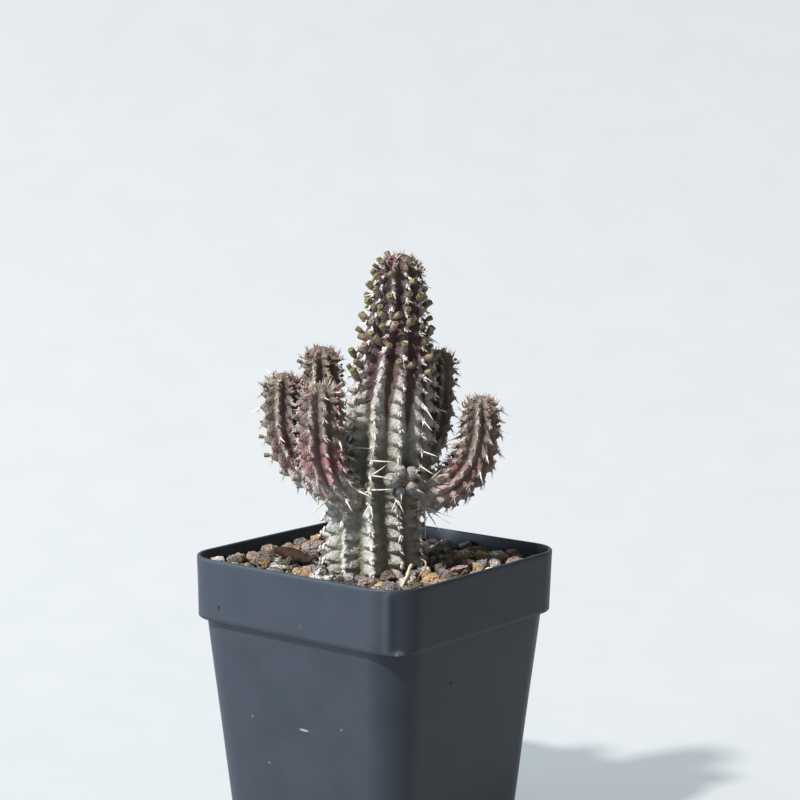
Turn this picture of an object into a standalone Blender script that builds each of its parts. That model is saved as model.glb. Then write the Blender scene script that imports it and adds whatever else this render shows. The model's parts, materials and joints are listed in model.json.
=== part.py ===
"""A branched, ribbed euphorbia in a square nursery pot.

The pot is square to the X and Y axes with its underside on Z = 0. The plant has its own frame, turned
about the pot's upright axis by PLANT_TURN: its fan of arms spreads along that frame's X, and -Y is the
side that the small offset and the front arm stand on. Lengths are in metres; tables are in millimetres.
"""

import math
import random

import bmesh
import bpy
from mathutils import Matrix, Vector

MM = 0.001
GAP = 0.0003  # clearance between pieces that touch

# Pot
POT_HEIGHT = 0.080
POT_SIDE = 0.075  # outside, across the rim
POT_WALL = 0.0010
POT_FLOOR = 0.0012
POT_CORNER = 0.0099  # outside corner radius of the rim
BAND_HEIGHT = 0.0170  # straight band below the rim
BAND_STEP = 0.0016  # how far the band stands out from the body
BASE_HALF = 0.0299  # half the outside width at the underside
CORNER_STEPS = 6

# Soil and gravel
SOIL_TOP = 0.0745
ROOT_FOOT = 0.0600

# Plant
PLANT_TURN = math.radians(37.8)
MAIN_PITCH = 0.00375  # between tubercles along a rib
ARM_PITCH = 0.0042
MAIN_RIBS = 11
ARM_RIBS = 9
RIB_DEPTH = 0.20  # share of the radius
SWELL = 0.05  # how far a tubercle stands out, and a crease goes in, as a share of the radius

COLLECTION = "potted_euphorbia"


def clear_scene():
    for obj in list(bpy.data.objects):
        bpy.data.objects.remove(obj, do_unlink=True)


def new_collection(name):
    collection = bpy.data.collections.new(name)
    bpy.context.scene.collection.children.link(collection)
    return collection


def material(name, color, roughness, metallic=0.0):
    """A plain Principled BSDF."""
    made = bpy.data.materials.new(name)
    made.use_nodes = True
    shader = made.node_tree.nodes["Principled BSDF"]
    shader.inputs["Base Color"].default_value = (*color, 1.0)
    shader.inputs["Roughness"].default_value = roughness
    shader.inputs["Metallic"].default_value = metallic
    made.diffuse_color = (*color, 1.0)
    return made


def finish(mesh, name, collection, look, parent=None, smooth=True):
    """Put a mesh in the scene as one named piece."""
    obj = bpy.data.objects.new(name, mesh)
    collection.objects.link(obj)
    if look:
        mesh.materials.append(look)
    if parent:
        obj.parent = parent
    if smooth:
        mesh.shade_smooth()
        mesh.set_sharp_from_angle(angle=math.radians(50))
    return obj


def loft(name, rings, apex=None):
    """Skin closed rings of equal point counts, capped flat or with a pointed apex at the far end."""
    mesh = bpy.data.meshes.new(name)
    bm = bmesh.new()
    loops = [[bm.verts.new(point) for point in ring] for ring in rings]
    count = len(loops[0])
    for low, high in zip(loops, loops[1:]):
        for i in range(count):
            j = (i + 1) % count
            bm.faces.new((low[i], low[j], high[j], high[i]))
    bm.faces.new(tuple(reversed(loops[0])))
    if apex is None:
        bm.faces.new(tuple(loops[-1]))
    else:
        tip = bm.verts.new(apex)
        for i in range(count):
            bm.faces.new((loops[-1][i], loops[-1][(i + 1) % count], tip))
    bmesh.ops.triangulate(bm, faces=bm.faces, quad_method="FIXED")
    bm.normal_update()
    bm.to_mesh(mesh)
    bm.free()
    return mesh


# ---------------------------------------------------------------- pot and soil


def rounded_square(half, radius, z):
    """A closed ring, anticlockwise from above."""
    ring = []
    for corner in range(4):
        start = corner * math.pi / 2
        middle = start + math.pi / 4
        centre = Vector((math.cos(middle), math.sin(middle), 0)) * (half - radius) * math.sqrt(2)
        for step in range(CORNER_STEPS + 1):
            angle = start + math.pi / 2 * step / CORNER_STEPS
            offset = Vector((math.cos(angle), math.sin(angle), 0)) * radius
            ring.append(centre + offset + Vector((0, 0, z)))
    return ring


def body_half(z):
    """Half the outside width of the tapered body at height z."""
    top = POT_SIDE / 2 - 0.0003 - BAND_STEP
    band = POT_HEIGHT - BAND_HEIGHT
    return BASE_HALF + (top - BASE_HALF) * z / band


def pot_rings():
    """Up the outside, over the lip and down the inside to the floor."""
    half = POT_SIDE / 2
    band = POT_HEIGHT - BAND_HEIGHT
    corner = POT_CORNER
    inner = corner - POT_WALL
    return [
        rounded_square(BASE_HALF - 0.0008, corner - 0.0008, 0),
        rounded_square(body_half(0.0008), corner, 0.0008),
        rounded_square(body_half(band), corner + 0.0004, band),
        rounded_square(half - 0.0005, corner, band + 0.0002),
        rounded_square(half - 0.0003, corner, band + 0.0008),
        rounded_square(half, corner, POT_HEIGHT - 0.0005),
        rounded_square(half - 0.0003, corner - 0.0003, POT_HEIGHT),
        rounded_square(half - POT_WALL + 0.0003, inner + 0.0003, POT_HEIGHT),
        rounded_square(half - POT_WALL, inner, POT_HEIGHT - 0.0005),
        rounded_square(half - POT_WALL - 0.0003, inner, band + 0.0012),
        rounded_square(body_half(band) - POT_WALL, inner, band),
        rounded_square(body_half(POT_FLOOR) - POT_WALL, inner, POT_FLOOR),
    ]


def soil_rings():
    """The filling, GAP clear of the pot's inside."""
    band = POT_HEIGHT - BAND_HEIGHT
    wall = POT_WALL + GAP
    corner = POT_CORNER - wall
    half = POT_SIDE / 2
    return [
        rounded_square(body_half(POT_FLOOR) - wall, corner, POT_FLOOR + GAP),
        rounded_square(body_half(band) - wall, corner, band),
        rounded_square(half - wall - 0.0006, corner, band + 0.0012 + GAP),
        rounded_square(half - wall - 0.0006, corner, SOIL_TOP),
    ]


# ---------------------------------------------------------------- ribbed stems


def smooth_path(points, step):
    """Points spaced `step` apart along a smooth curve through the given points."""
    dense = []
    ends = [points[0] * 2 - points[1], *points, points[-1] * 2 - points[-2]]
    for a, b, c, d in zip(ends, ends[1:], ends[2:], ends[3:]):
        for i in range(24):
            t = i / 24
            dense.append(
                0.5 * (2 * b + (c - a) * t + (2 * a - 5 * b + 4 * c - d) * t * t
                       + (3 * b - a - 3 * c + d) * t ** 3)
            )
    dense.append(points[-1].copy())
    lengths = [0.0]
    for p, q in zip(dense, dense[1:]):
        lengths.append(lengths[-1] + (q - p).length)
    count = max(2, round(lengths[-1] / step))
    path, k = [], 0
    for i in range(count + 1):
        target = lengths[-1] * i / count
        while k < len(dense) - 2 and lengths[k + 1] < target:
            k += 1
        span = lengths[k + 1] - lengths[k]
        path.append(dense[k].lerp(dense[k + 1], (target - lengths[k]) / span))
    return path, lengths[-1]


def profile(table, x):
    """Linear look-up in a list of (position, value)."""
    if x <= table[0][0]:
        return table[0][1]
    for (x0, y0), (x1, y1) in zip(table, table[1:]):
        if x <= x1:
            return y0 + (y1 - y0) * (x - x0) / (x1 - x0)
    return table[-1][1]


def rib_ring(frame, radius, ribs, turn, depth, bump):
    """One cross-section: four points to a rib, ridge, flank, furrow, flank."""
    centre, along, side = frame
    across = along.cross(side)
    ring = []
    for i in range(4 * ribs):
        angle = math.tau * i / (4 * ribs)
        crest = math.cos(ribs * angle)
        reach = radius * (1 - depth * (1 - crest) / 2) + bump * max(crest, 0)
        angle += math.radians(turn)
        ring.append(centre + reach * (math.cos(angle) * side + math.sin(angle) * across))
    return ring


def stem_frames(stem):
    """(centre, along, side) every half tubercle from foot to tip; side is +X at the tip and never spins."""
    path, _ = smooth_path([Vector(point) * MM for point in stem["path"]], stem["pitch"] / 2)
    frames = []
    side = Vector((1, 0, 0))
    for i in range(len(path) - 1, -1, -1):
        along = (path[min(i + 1, len(path) - 1)] - path[max(i - 1, 0)]).normalized()
        side = (side - along * side.dot(along)).normalized()
        frames.append((path[i], along, side))
    return frames[::-1]


def stem_mesh(name, stem, grow=0.0):
    """A ribbed stem whose ribs swell into tubercles; the foot of the main stem is a round root neck."""
    frames = stem_frames(stem)
    last = len(frames) - 1
    rings = []
    for i, frame in enumerate(frames[:-1]):
        share = i / last
        radius = profile(stem["radii"], share) * MM + grow
        rise = profile(stem["rise"], share)
        bump = (SWELL if i % 2 else -SWELL) * radius * rise
        turn = profile(stem["turn"], share)
        rings.append(rib_ring(frame, radius, stem["ribs"], turn, RIB_DEPTH * rise, bump))
    tip, along, _ = frames[-1]
    return loft(name, rings, tip + along * grow)


def tubercle(stem, rib, ring):
    """The tip of one tubercle and the way that it points."""
    centre, along, side = frame = stem_frames(stem)[ring]
    share = ring / (len(stem_frames(stem)) - 1)
    radius = profile(stem["radii"], share) * MM * (1 + SWELL)
    tip = rib_ring(frame, radius, stem["ribs"], profile(stem["turn"], share), 0, 0)[4 * rib]
    return tip, ((tip - centre).normalized() + 0.5 * along).normalized()


def top_ring(stem):
    """The ring of the highest tubercles."""
    return (len(stem_frames(stem)) - 2) // 2 * 2 - 1


def nearest_tubercle(stem, point):
    """The tubercle whose tip is closest to a point."""
    rings = range(1, top_ring(stem) + 1, 2)
    spots = [tubercle(stem, rib, ring) for ring in rings for rib in range(stem["ribs"])]
    return min(spots, key=lambda spot: (spot[0] - point).length)


def arm(path, radii, front_rib):
    return {"path": path, "radii": radii, "turn": [(0, front_rib)], "rise": [(0, 1.0)], "ribs": ARM_RIBS,
            "pitch": ARM_PITCH}


# Every stem: its path and radii in mm, the bearing of its first rib in degrees, and how far the ribs have
# risen out of the round. Radii, bearings and rise run over the share of the length, foot to tip.
STEMS = {
    "main_stem": {
        "path": [(-0.9, 0, 60), (-0.9, 0, 76), (-0.8, 0, 90), (1.0, 0, 103), (3.2, 0, 114), (4.4, 0, 128),
                 (5.2, 0, 142), (6.0, 0, 153), (6.0, 0, 161.4)],
        "radii": [(0, 6.5), (0.08, 10.5), (0.142, 12.4), (0.16, 13.6), (0.28, 12.9), (0.40, 12.1),
                  (0.52, 11.8), (0.62, 11.3), (0.72, 9.8), (0.80, 7.6), (0.87, 6.2), (0.95, 5.6),
                  (0.981, 4.9), (1.0, 2.5)],
        "turn": [(0, 304), (0.25, 303), (0.60, 281), (0.88, 291), (1.0, 288)],
        "rise": [(0, 0.0), (0.142, 0.0), (0.16, 1.0)],
        "ribs": MAIN_RIBS,
        "pitch": MAIN_PITCH,
    },
    "arm_left": arm(
        [(-6, 0.4, 97.5), (-13, 0.8, 98.8), (-19.2, 1, 102.6), (-23.6, 1, 108.5), (-25.6, 1, 117),
         (-25.3, 1, 128.8)],
        [(0, 4.6), (0.30, 4.9), (0.60, 5.2), (0.82, 5.0), (0.92, 4.1), (1, 2.0)], 260),
    "arm_front_left": arm(
        [(-2.4, -4, 96.8), (-8.3, -8.6, 97.5), (-12.2, -10.9, 102), (-14.1, -11.4, 109.3),
         (-14.6, -11.8, 117.3), (-14.6, -11.6, 127.6)],
        [(0, 4.8), (0.30, 5.4), (0.60, 6.0), (0.82, 5.5), (0.92, 4.4), (1, 2.2)], 280),
    "arm_back_left": arm(
        [(-4, 6, 101), (-9.5, 11, 103.2), (-13.4, 14, 108), (-15.2, 15, 115), (-15.6, 15, 124),
         (-15.5, 14.6, 134.6)],
        [(0, 4.6), (0.30, 4.9), (0.60, 5.2), (0.82, 5.0), (0.92, 4.1), (1, 2.0)], 252),
    "arm_right": arm(
        [(5, -0.6, 96), (12.5, -1.4, 96.4), (20, -2.2, 98.8), (25.4, -2.8, 104.4), (27.8, -3, 112),
         (28.2, -3, 123.4)],
        [(0, 4.9), (0.30, 5.2), (0.60, 5.3), (0.82, 4.8), (0.92, 3.9), (1, 2.0)], 260),
    "arm_back_right": arm(
        [(5, 5, 100), (10.5, 10.5, 103), (14.2, 13.4, 109), (16, 14.4, 117), (16.7, 14.4, 125),
         (17, 14, 134)],
        [(0, 4.6), (0.30, 4.8), (0.60, 4.7), (0.82, 4.4), (0.92, 3.7), (1, 1.8)], 242),
}


def cut(obj, cutter):
    """Take the cutter's volume out of the piece."""
    step = obj.modifiers.new("cut_" + cutter.name, "BOOLEAN")
    step.operation = "DIFFERENCE"
    step.solver = "EXACT"
    step.object = cutter


def as_cutter(obj):
    obj.hide_render = True
    obj.display_type = "WIRE"
    return obj


# ---------------------------------------------------------------- offset, buds, spines, stones


def offset_mesh(name):
    """Five stubby tubercles in a star around a sunken middle, on a short base that points to -Y."""
    rings = []
    stations = [(3.4, 3.0, 0.0), (4.6, 0.9, 0.28), (5.0, -0.9, 0.36), (3.9, -2.3, 0.40), (1.7, -2.6, 0.30)]
    for radius, y, depth in stations:
        ring = []
        for i in range(20):
            angle = math.tau * i / 20
            crest = (1 - math.cos(5 * angle)) / 2
            reach = radius * (1 - depth * crest)
            ring.append(Vector((reach * math.cos(angle) * 1.12, y, reach * math.sin(angle) * 0.9)) * MM)
        rings.append(ring)
    return loft(name, rings, Vector((0, -1.7, 0)) * MM)


def turned(name, stations, sides=8):
    """A closed turned solid about Z from (radius, z) pairs in millimetres, foot first."""
    rings = [
        [Vector((r * math.cos(math.tau * i / sides), r * math.sin(math.tau * i / sides), z)) * MM
         for i in range(sides)]
        for r, z in stations
    ]
    return loft(name, rings)


BUD_STATIONS = [(0.35, 0), (0.6, 0.9), (0.95, 1.6), (1.1, 2.7), (1.15, 3.3), (0.75, 3.7)]
SPINE_FOOT, SPINE_TIP = 0.22, 0.08  # radii, mm
SPINE_SPREAD = 0.0010  # from a tubercle's tip to the foot of each spine around it

# Buds: host stem, rib, tubercles down from the tip
BUDS = [
    ("main_stem", 8, 1), ("main_stem", 8, 2), ("main_stem", 8, 3), ("main_stem", 8, 4), ("main_stem", 8, 5),
    ("main_stem", 8, 6), ("main_stem", 8, 7), ("main_stem", 2, 2), ("main_stem", 2, 3), ("main_stem", 2, 5),
    ("main_stem", 2, 6), ("main_stem", 0, 2), ("main_stem", 10, 3), ("main_stem", 5, 4),
    ("arm_back_left", 7, 1), ("arm_back_left", 3, 2), ("arm_back_right", 3, 3),
]

# Long spines: host stem, a point near the tubercle that it grows from, and its reach, all in mm
SPINES = [
    ("arm_right", (14, -6, 92.6), (-1.6, -2.6, -3.4)), ("arm_right", (14, -6, 92.6), (0.4, -2.2, -7.6)),
    ("arm_right", (14, -6, 92.6), (3.6, -2.2, -5.6)), ("arm_right", (14, -6, 92.6), (6.0, -2.0, -3.6)),
    ("main_stem", (7, -11, 95.6), (-1.4, -2.8, -3.4)), ("main_stem", (7, -11, 95.6), (1.8, -2.8, -3.4)),
    ("main_stem", (0, -13, 96), (-1.6, -3.0, -2.8)), ("main_stem", (0, -13, 96), (1.2, -3.0, -3.2)),
    ("main_stem", (11, -9, 121), (3.0, -3.4, -3.2)), ("main_stem", (11, -9, 108), (4.4, -3.6, -1.0)),
    ("arm_right", (14.6, -6, 101), (4.2, -3.0, 2.4)), ("arm_front_left", (-13, -13, 97), (-5.6, -3.4, -4.0)),
]

# Stones: x, y, length, width, height (mm), turn (degrees), colour name
STONES = [
    (-19.0, -12.5, 6.4, 5.2, 2.9, 15, "ochre"), (-31.0, 10.0, 6.6, 5.6, 3.0, 60, "brown"),
    (-26.6, -5.4, 4.6, 3.8, 2.5, 30, "white"), (-25.6, 18.8, 5.2, 4.4, 2.8, 80, "pink"),
    (-17.4, 26.4, 6.0, 4.6, 2.8, 10, "pink"), (-18.6, 16.6, 7.4, 5.4, 3.0, -20, "bluegrey"),
    (-9.0, -21.0, 4.8, 3.8, 2.4, 0, "dark"), (3.0, -26.5, 5.2, 4.0, 2.5, 40, "brown"),
    (14.8, -17.6, 5.6, 4.6, 2.7, -15, "ochre"), (18.8, -10.8, 4.6, 3.8, 2.5, 70, "bluegrey"),
    (23.2, -4.8, 6.0, 4.6, 2.8, 10, "pink"), (19.6, 18.6, 6.2, 5.0, 2.9, 35, "dark"),
    (27.4, 19.6, 5.0, 4.2, 2.7, 75, "brown"), (25.6, 12.0, 5.2, 4.2, 2.7, -40, "ochre"),
    (34.2, 13.8, 4.8, 4.0, 2.6, 20, "white"), (33.4, 5.0, 5.0, 4.2, 2.6, 50, "bluegrey"),
    (-38.0, 1.6, 5.4, 4.4, 2.7, 0, "dark"), (2.0, 30.0, 6.4, 5.2, 2.9, 25, "pink"),
    (6.0, -38.0, 6.2, 5.0, 2.9, 85, "bluegrey"), (-6.0, 38.0, 5.8, 4.8, 2.8, 5, "brown"),
]
STONE_COLORS = {
    "ochre": (0.47, 0.30, 0.14), "brown": (0.13, 0.085, 0.065), "white": (0.62, 0.58, 0.53),
    "pink": (0.42, 0.24, 0.19), "bluegrey": (0.19, 0.20, 0.22), "dark": (0.055, 0.045, 0.04),
}


def stone_mesh(name, size, seed):
    """A lumpy pebble with its underside levelled at z = 0."""
    mesh = bpy.data.meshes.new(name)
    bm = bmesh.new()
    bmesh.ops.create_icosphere(bm, subdivisions=2, radius=0.5)
    rng = random.Random(seed)
    lumps = [Vector([rng.uniform(-1, 1) for _ in range(3)]).normalized() for _ in range(7)]
    for vert in bm.verts:
        way = vert.co.normalized()
        swell = 1 - 0.16 * max(max(way.dot(lump) for lump in lumps) - 0.55, 0) / 0.45
        vert.co = Vector((way.x * size[0], way.y * size[1], way.z * size[2])) * 0.5 * swell * MM
    low = min(vert.co.z for vert in bm.verts)
    for vert in bm.verts:
        vert.co.z -= low
    bm.to_mesh(mesh)
    bm.free()
    return mesh


def chip_mesh(name):
    """A thin curved shard, pointed at both ends, lying along X."""
    half = 7.6
    rings = []
    for i in range(1, 9):
        x = -half + 2 * half * i / 9
        share = 1 - (x / half) ** 2
        wide, thick, lift = 2.3 * math.sqrt(share), 0.45 * math.sqrt(share) + 0.1, 0.5 * share
        corners = ((0, -wide, lift - thick), (0, wide, lift - thick + 0.7), (0, wide, lift + thick + 0.7),
                   (0, 0, lift + thick + 0.15), (0, -wide, lift + thick))
        rings.append([Vector((x, y, z)) * MM for _, y, z in corners])
    return loft(name, rings)


def along_z_to(foot, tip):
    """The placing that carries the Z axis onto foot-to-tip."""
    way = (tip - foot).normalized()
    return Matrix.Translation(foot) @ way.to_track_quat("Z", "Y").to_matrix().to_4x4()


def build_pot(parts, cutters, plant):
    plastic = material("black_plastic", (0.035, 0.039, 0.046), 0.42)
    earth = material("soil_mix", (0.06, 0.045, 0.035), 0.95)
    finish(loft("pot", pot_rings()), "pot", parts, plastic)
    soil = finish(loft("soil", soil_rings()), "soil", parts, earth)
    socket = as_cutter(finish(root_socket_mesh(), "root_socket", cutters, None, plant, smooth=False))
    cut(soil, socket)


def root_socket_mesh():
    """The space that the root neck takes in the soil, GAP larger all round."""
    stations = [(6.9, 59.7), (10.9, 67.6), (12.8, 74.0), (13.0, 76.0)]
    mesh = turned("root_socket", stations, sides=40)
    mesh.transform(Matrix.Translation((STEMS["main_stem"]["path"][0][0] * MM, 0, 0)))
    return mesh


def build_plant(parts, cutters, plant):
    grey = material("waxy_stem", (0.24, 0.23, 0.19), 0.75)
    purple = material("purple_stem", (0.17, 0.10, 0.09), 0.7)
    main_stem = STEMS["main_stem"]
    finish(stem_mesh("main_stem", main_stem), "main_stem", parts, grey, plant)
    clear = stem_mesh("stem_clearance", main_stem, grow=GAP)
    clear = as_cutter(finish(clear, "stem_clearance", cutters, None, plant, smooth=False))
    for name, stem in STEMS.items():
        if stem is not main_stem:
            cut(finish(stem_mesh(name, stem), name, parts, purple, plant), clear)
    offset = finish(offset_mesh("front_offset"), "front_offset", parts, grey, plant)
    offset.location = Vector((7.6, -12.6, 101.4)) * MM
    offset.rotation_euler.z = math.radians(24)
    cut(offset, clear)


def build_small_pieces(parts, plant):
    olive = material("bud", (0.22, 0.17, 0.08), 0.6)
    straw = material("dry_spine", (0.52, 0.46, 0.36), 0.7)
    for i, (host, rib, down) in enumerate(BUDS, 1):
        tip, out = tubercle(STEMS[host], rib, top_ring(STEMS[host]) - 2 * down)
        name = f"flower_bud_{i:02d}"
        bud = finish(turned(name, BUD_STATIONS), name, parts, olive, plant)
        bud.matrix_local = along_z_to(tip + out * GAP, tip + out)
    for i, (host, near, reach) in enumerate(SPINES, 1):
        tip, out = nearest_tubercle(STEMS[host], Vector(near) * MM)
        reach = Vector(reach) * MM
        aside = (reach - out * reach.dot(out)).normalized() * SPINE_SPREAD
        name = f"long_spine_{i:02d}"
        stations = [(SPINE_FOOT, 0), (SPINE_TIP, reach.length / MM)]
        spine = finish(turned(name, stations, sides=6), name, parts, straw, plant)
        spine.matrix_local = along_z_to(tip + out * GAP + aside, tip + out * GAP + aside + reach)


def build_gravel(parts, plant):
    looks = {name: material("stone_" + name, color, 0.9) for name, color in STONE_COLORS.items()}
    for i, (x, y, length, width, height, turn, color) in enumerate(STONES, 1):
        name = f"stone_{i:02d}"
        stone = finish(stone_mesh(name, (length, width, height), i), name, parts, looks[color], plant)
        stone.location = Vector((x * MM, y * MM, SOIL_TOP + GAP))
        stone.rotation_euler.z = math.radians(turn)
    bark = material("bark", (0.10, 0.04, 0.02), 0.55)
    chip = finish(chip_mesh("bark_chip"), "bark_chip", parts, bark, plant, smooth=False)
    chip.location = Vector((-23.0, 5.6, 76.0)) * MM
    chip.rotation_euler.z = math.radians(-38)
    straw = material("dry_twig", (0.55, 0.47, 0.33), 0.8)
    stations = [(0.75, 0), (0.6, 3.0), (0.95, 4.2), (0.5, 5.6), (0.45, 10.4), (0.2, 11.2)]
    twig = finish(turned("dry_twig", stations), "dry_twig", parts, straw, plant)
    twig.matrix_local = along_z_to(Vector((9.4, -17.2, 78.9)) * MM, Vector((7.4, -27.6, 76.0)) * MM)


def main():
    clear_scene()
    parts = new_collection(COLLECTION)
    cutters = new_collection("cutters")
    plant = bpy.data.objects.new("plant_frame", None)
    parts.objects.link(plant)
    plant.rotation_euler.z = PLANT_TURN
    build_pot(parts, cutters, plant)
    build_plant(parts, cutters, plant)
    build_small_pieces(parts, plant)
    build_gravel(parts, plant)


main()
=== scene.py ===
import json
import math
import random

import bmesh
import bpy
import numpy as np
from mathutils import Matrix, Vector, noise


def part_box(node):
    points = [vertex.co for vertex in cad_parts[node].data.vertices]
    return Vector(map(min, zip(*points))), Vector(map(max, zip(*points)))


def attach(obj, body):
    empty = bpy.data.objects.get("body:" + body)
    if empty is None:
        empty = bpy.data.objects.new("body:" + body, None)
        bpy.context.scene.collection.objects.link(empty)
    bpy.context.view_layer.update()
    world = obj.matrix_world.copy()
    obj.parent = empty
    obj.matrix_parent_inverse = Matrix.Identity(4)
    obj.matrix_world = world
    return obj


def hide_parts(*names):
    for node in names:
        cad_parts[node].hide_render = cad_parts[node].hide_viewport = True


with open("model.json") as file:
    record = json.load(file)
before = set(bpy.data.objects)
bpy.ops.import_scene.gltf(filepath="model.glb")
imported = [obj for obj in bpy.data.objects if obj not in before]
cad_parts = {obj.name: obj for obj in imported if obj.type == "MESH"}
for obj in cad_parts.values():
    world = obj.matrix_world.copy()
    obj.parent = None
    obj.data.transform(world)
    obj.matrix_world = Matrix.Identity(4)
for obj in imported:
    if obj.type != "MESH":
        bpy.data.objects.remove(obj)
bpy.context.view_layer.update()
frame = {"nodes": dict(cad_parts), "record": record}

NODES = list(frame["nodes"])
MM = 0.001  # the shapes below are worked out in millimetres
# The plant's own frame, turned about Z: X to its right, Y to its back. The pot is square to the world.
PLANT_TURN = math.radians(37.8)
TO_WORLD = np.array(Matrix.Rotation(PLANT_TURN, 3, "Z"))
SOIL_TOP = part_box("soil")[1][2] / MM
POT_HIGH = Vector(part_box("pot")[1]) / MM


# ---- small tools


def smooth(a, b, x):
    t = np.clip((np.asarray(x, float) - a) / (b - a), 0, 1)
    return t * t * (3 - 2 * t)


def unit(way):
    return way / np.linalg.norm(way)


def between(rows, share):
    """The value at a share of the length, from rows of share and value."""
    rows = np.array(rows, float)
    return np.interp(share, rows[:, 0], rows[:, 1])


def node_names(prefix):
    return sorted(name for name in NODES if name.startswith(prefix))


def node_box(name):
    return (np.array(corner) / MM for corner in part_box(name))


def add_object(name, data):
    obj = bpy.data.objects.new(name, data)
    bpy.context.scene.collection.objects.link(obj)
    return obj


class Batch:
    """Vertices, faces and colours in millimetres, gathered into one object."""

    def __init__(self):
        self.verts, self.faces, self.colors, self.count = [], [], [], 0

    def add(self, verts, faces, color):
        """color is one row of red, green and blue for all the vertices, or a row for each."""
        self.verts.append(np.asarray(verts, float))
        self.colors.append(np.broadcast_to(np.asarray(color, float), (len(verts), 3)))
        self.faces.extend([[i + self.count for i in face] for face in faces])
        self.count += len(verts)

    def build(self, name, look, slot, replaces=(), plant=True, uv=None):
        verts = np.concatenate(self.verts)
        if plant:
            verts = verts @ TO_WORLD.T
        mesh = bpy.data.meshes.new(name)
        mesh.from_pydata((verts * MM).tolist(), [], self.faces)
        tint = mesh.color_attributes.new("tint", "FLOAT_COLOR", "POINT")
        colors = np.concatenate(self.colors)
        rgba = np.ones((len(colors), 4))
        rgba[:, :3] = colors
        tint.data.foreach_set("color", rgba.ravel())
        if uv is not None:
            layer = mesh.uv_layers.new(name="OFBake")
            layer.data.foreach_set("uv", np.asarray(uv, float).ravel())
        mesh.shade_smooth()
        mesh.update()
        mesh.materials.append(look)
        obj = add_object(name, mesh)
        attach(obj, "root")
        if replaces:
            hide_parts(*replaces)
        return obj


def basis(z_axis, hint=(0, 0, 1)):
    """A 3x3 turn whose third column is z_axis."""
    z = unit(np.asarray(z_axis, float))
    x = np.cross(hint, z)
    if np.linalg.norm(x) < 1e-3:
        x = np.cross((0, 1, 0), z)
    x = unit(x)
    return np.stack([x, np.cross(z, x), z], 1)


def ring_faces(rings, sides, ends=True):
    """Quads between rings of vertices that follow one another, and a face over each end."""
    faces = []
    for k in range(rings - 1):
        for i in range(sides):
            j = (i + 1) % sides
            faces.append((k * sides + i, k * sides + j, (k + 1) * sides + j, (k + 1) * sides + i))
    if ends:
        faces.append(tuple(reversed(range(sides))))
        faces.append(tuple(range((rings - 1) * sides, rings * sides)))
    return faces


def lathe(rows, sides, lobes=0, lobe_depth=0.0):
    """Vertices and faces of a closed turned form about Z from (radius, z, lobe share) rows."""
    verts = []
    for radius, z, lobe in rows:
        for i in range(sides):
            a = math.tau * i / sides
            r = radius * (1 - lobe * lobe_depth * (1 - math.cos(lobes * a)) / 2)
            verts.append((r * math.cos(a), r * math.sin(a), z))
    return np.array(verts), ring_faces(len(rows), sides)


def icosphere(subdivisions):
    bm = bmesh.new()
    bmesh.ops.create_icosphere(bm, subdivisions=subdivisions, radius=1.0)
    verts = np.array([vert.co[:] for vert in bm.verts])
    faces = [tuple(vert.index for vert in face.verts) for face in bm.faces]
    bm.free()
    return verts, faces


BALLS = {level: icosphere(level) for level in (2, 3, 4)}


# ---- materials


# Marks on the pot: place in mm, size in mm along X Y Z, shade of grey
POT_MARKS = [
    ((2.9, -33.3, 37.7), (1.9, 1.2, 0.38), 0.22), ((4.7, -37.5, 66.6), (0.7, 1.0, 0.9), 0.05),
    ((34.5, -12.2, 51.4), (0.9, 0.8, 0.5), 0.008), ((-24.1, -37.5, 67.2), (0.55, 1.0, 0.7), 0.008),
    ((-15.4, -33.3, 38.1), (0.4, 0.8, 0.4), 0.12), ((15.7, -33.5, 40.2), (0.4, 0.8, 0.4), 0.12),
    ((-10.3, -32.3, 26.1), (0.5, 0.8, 0.4), 0.10),
]


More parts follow.
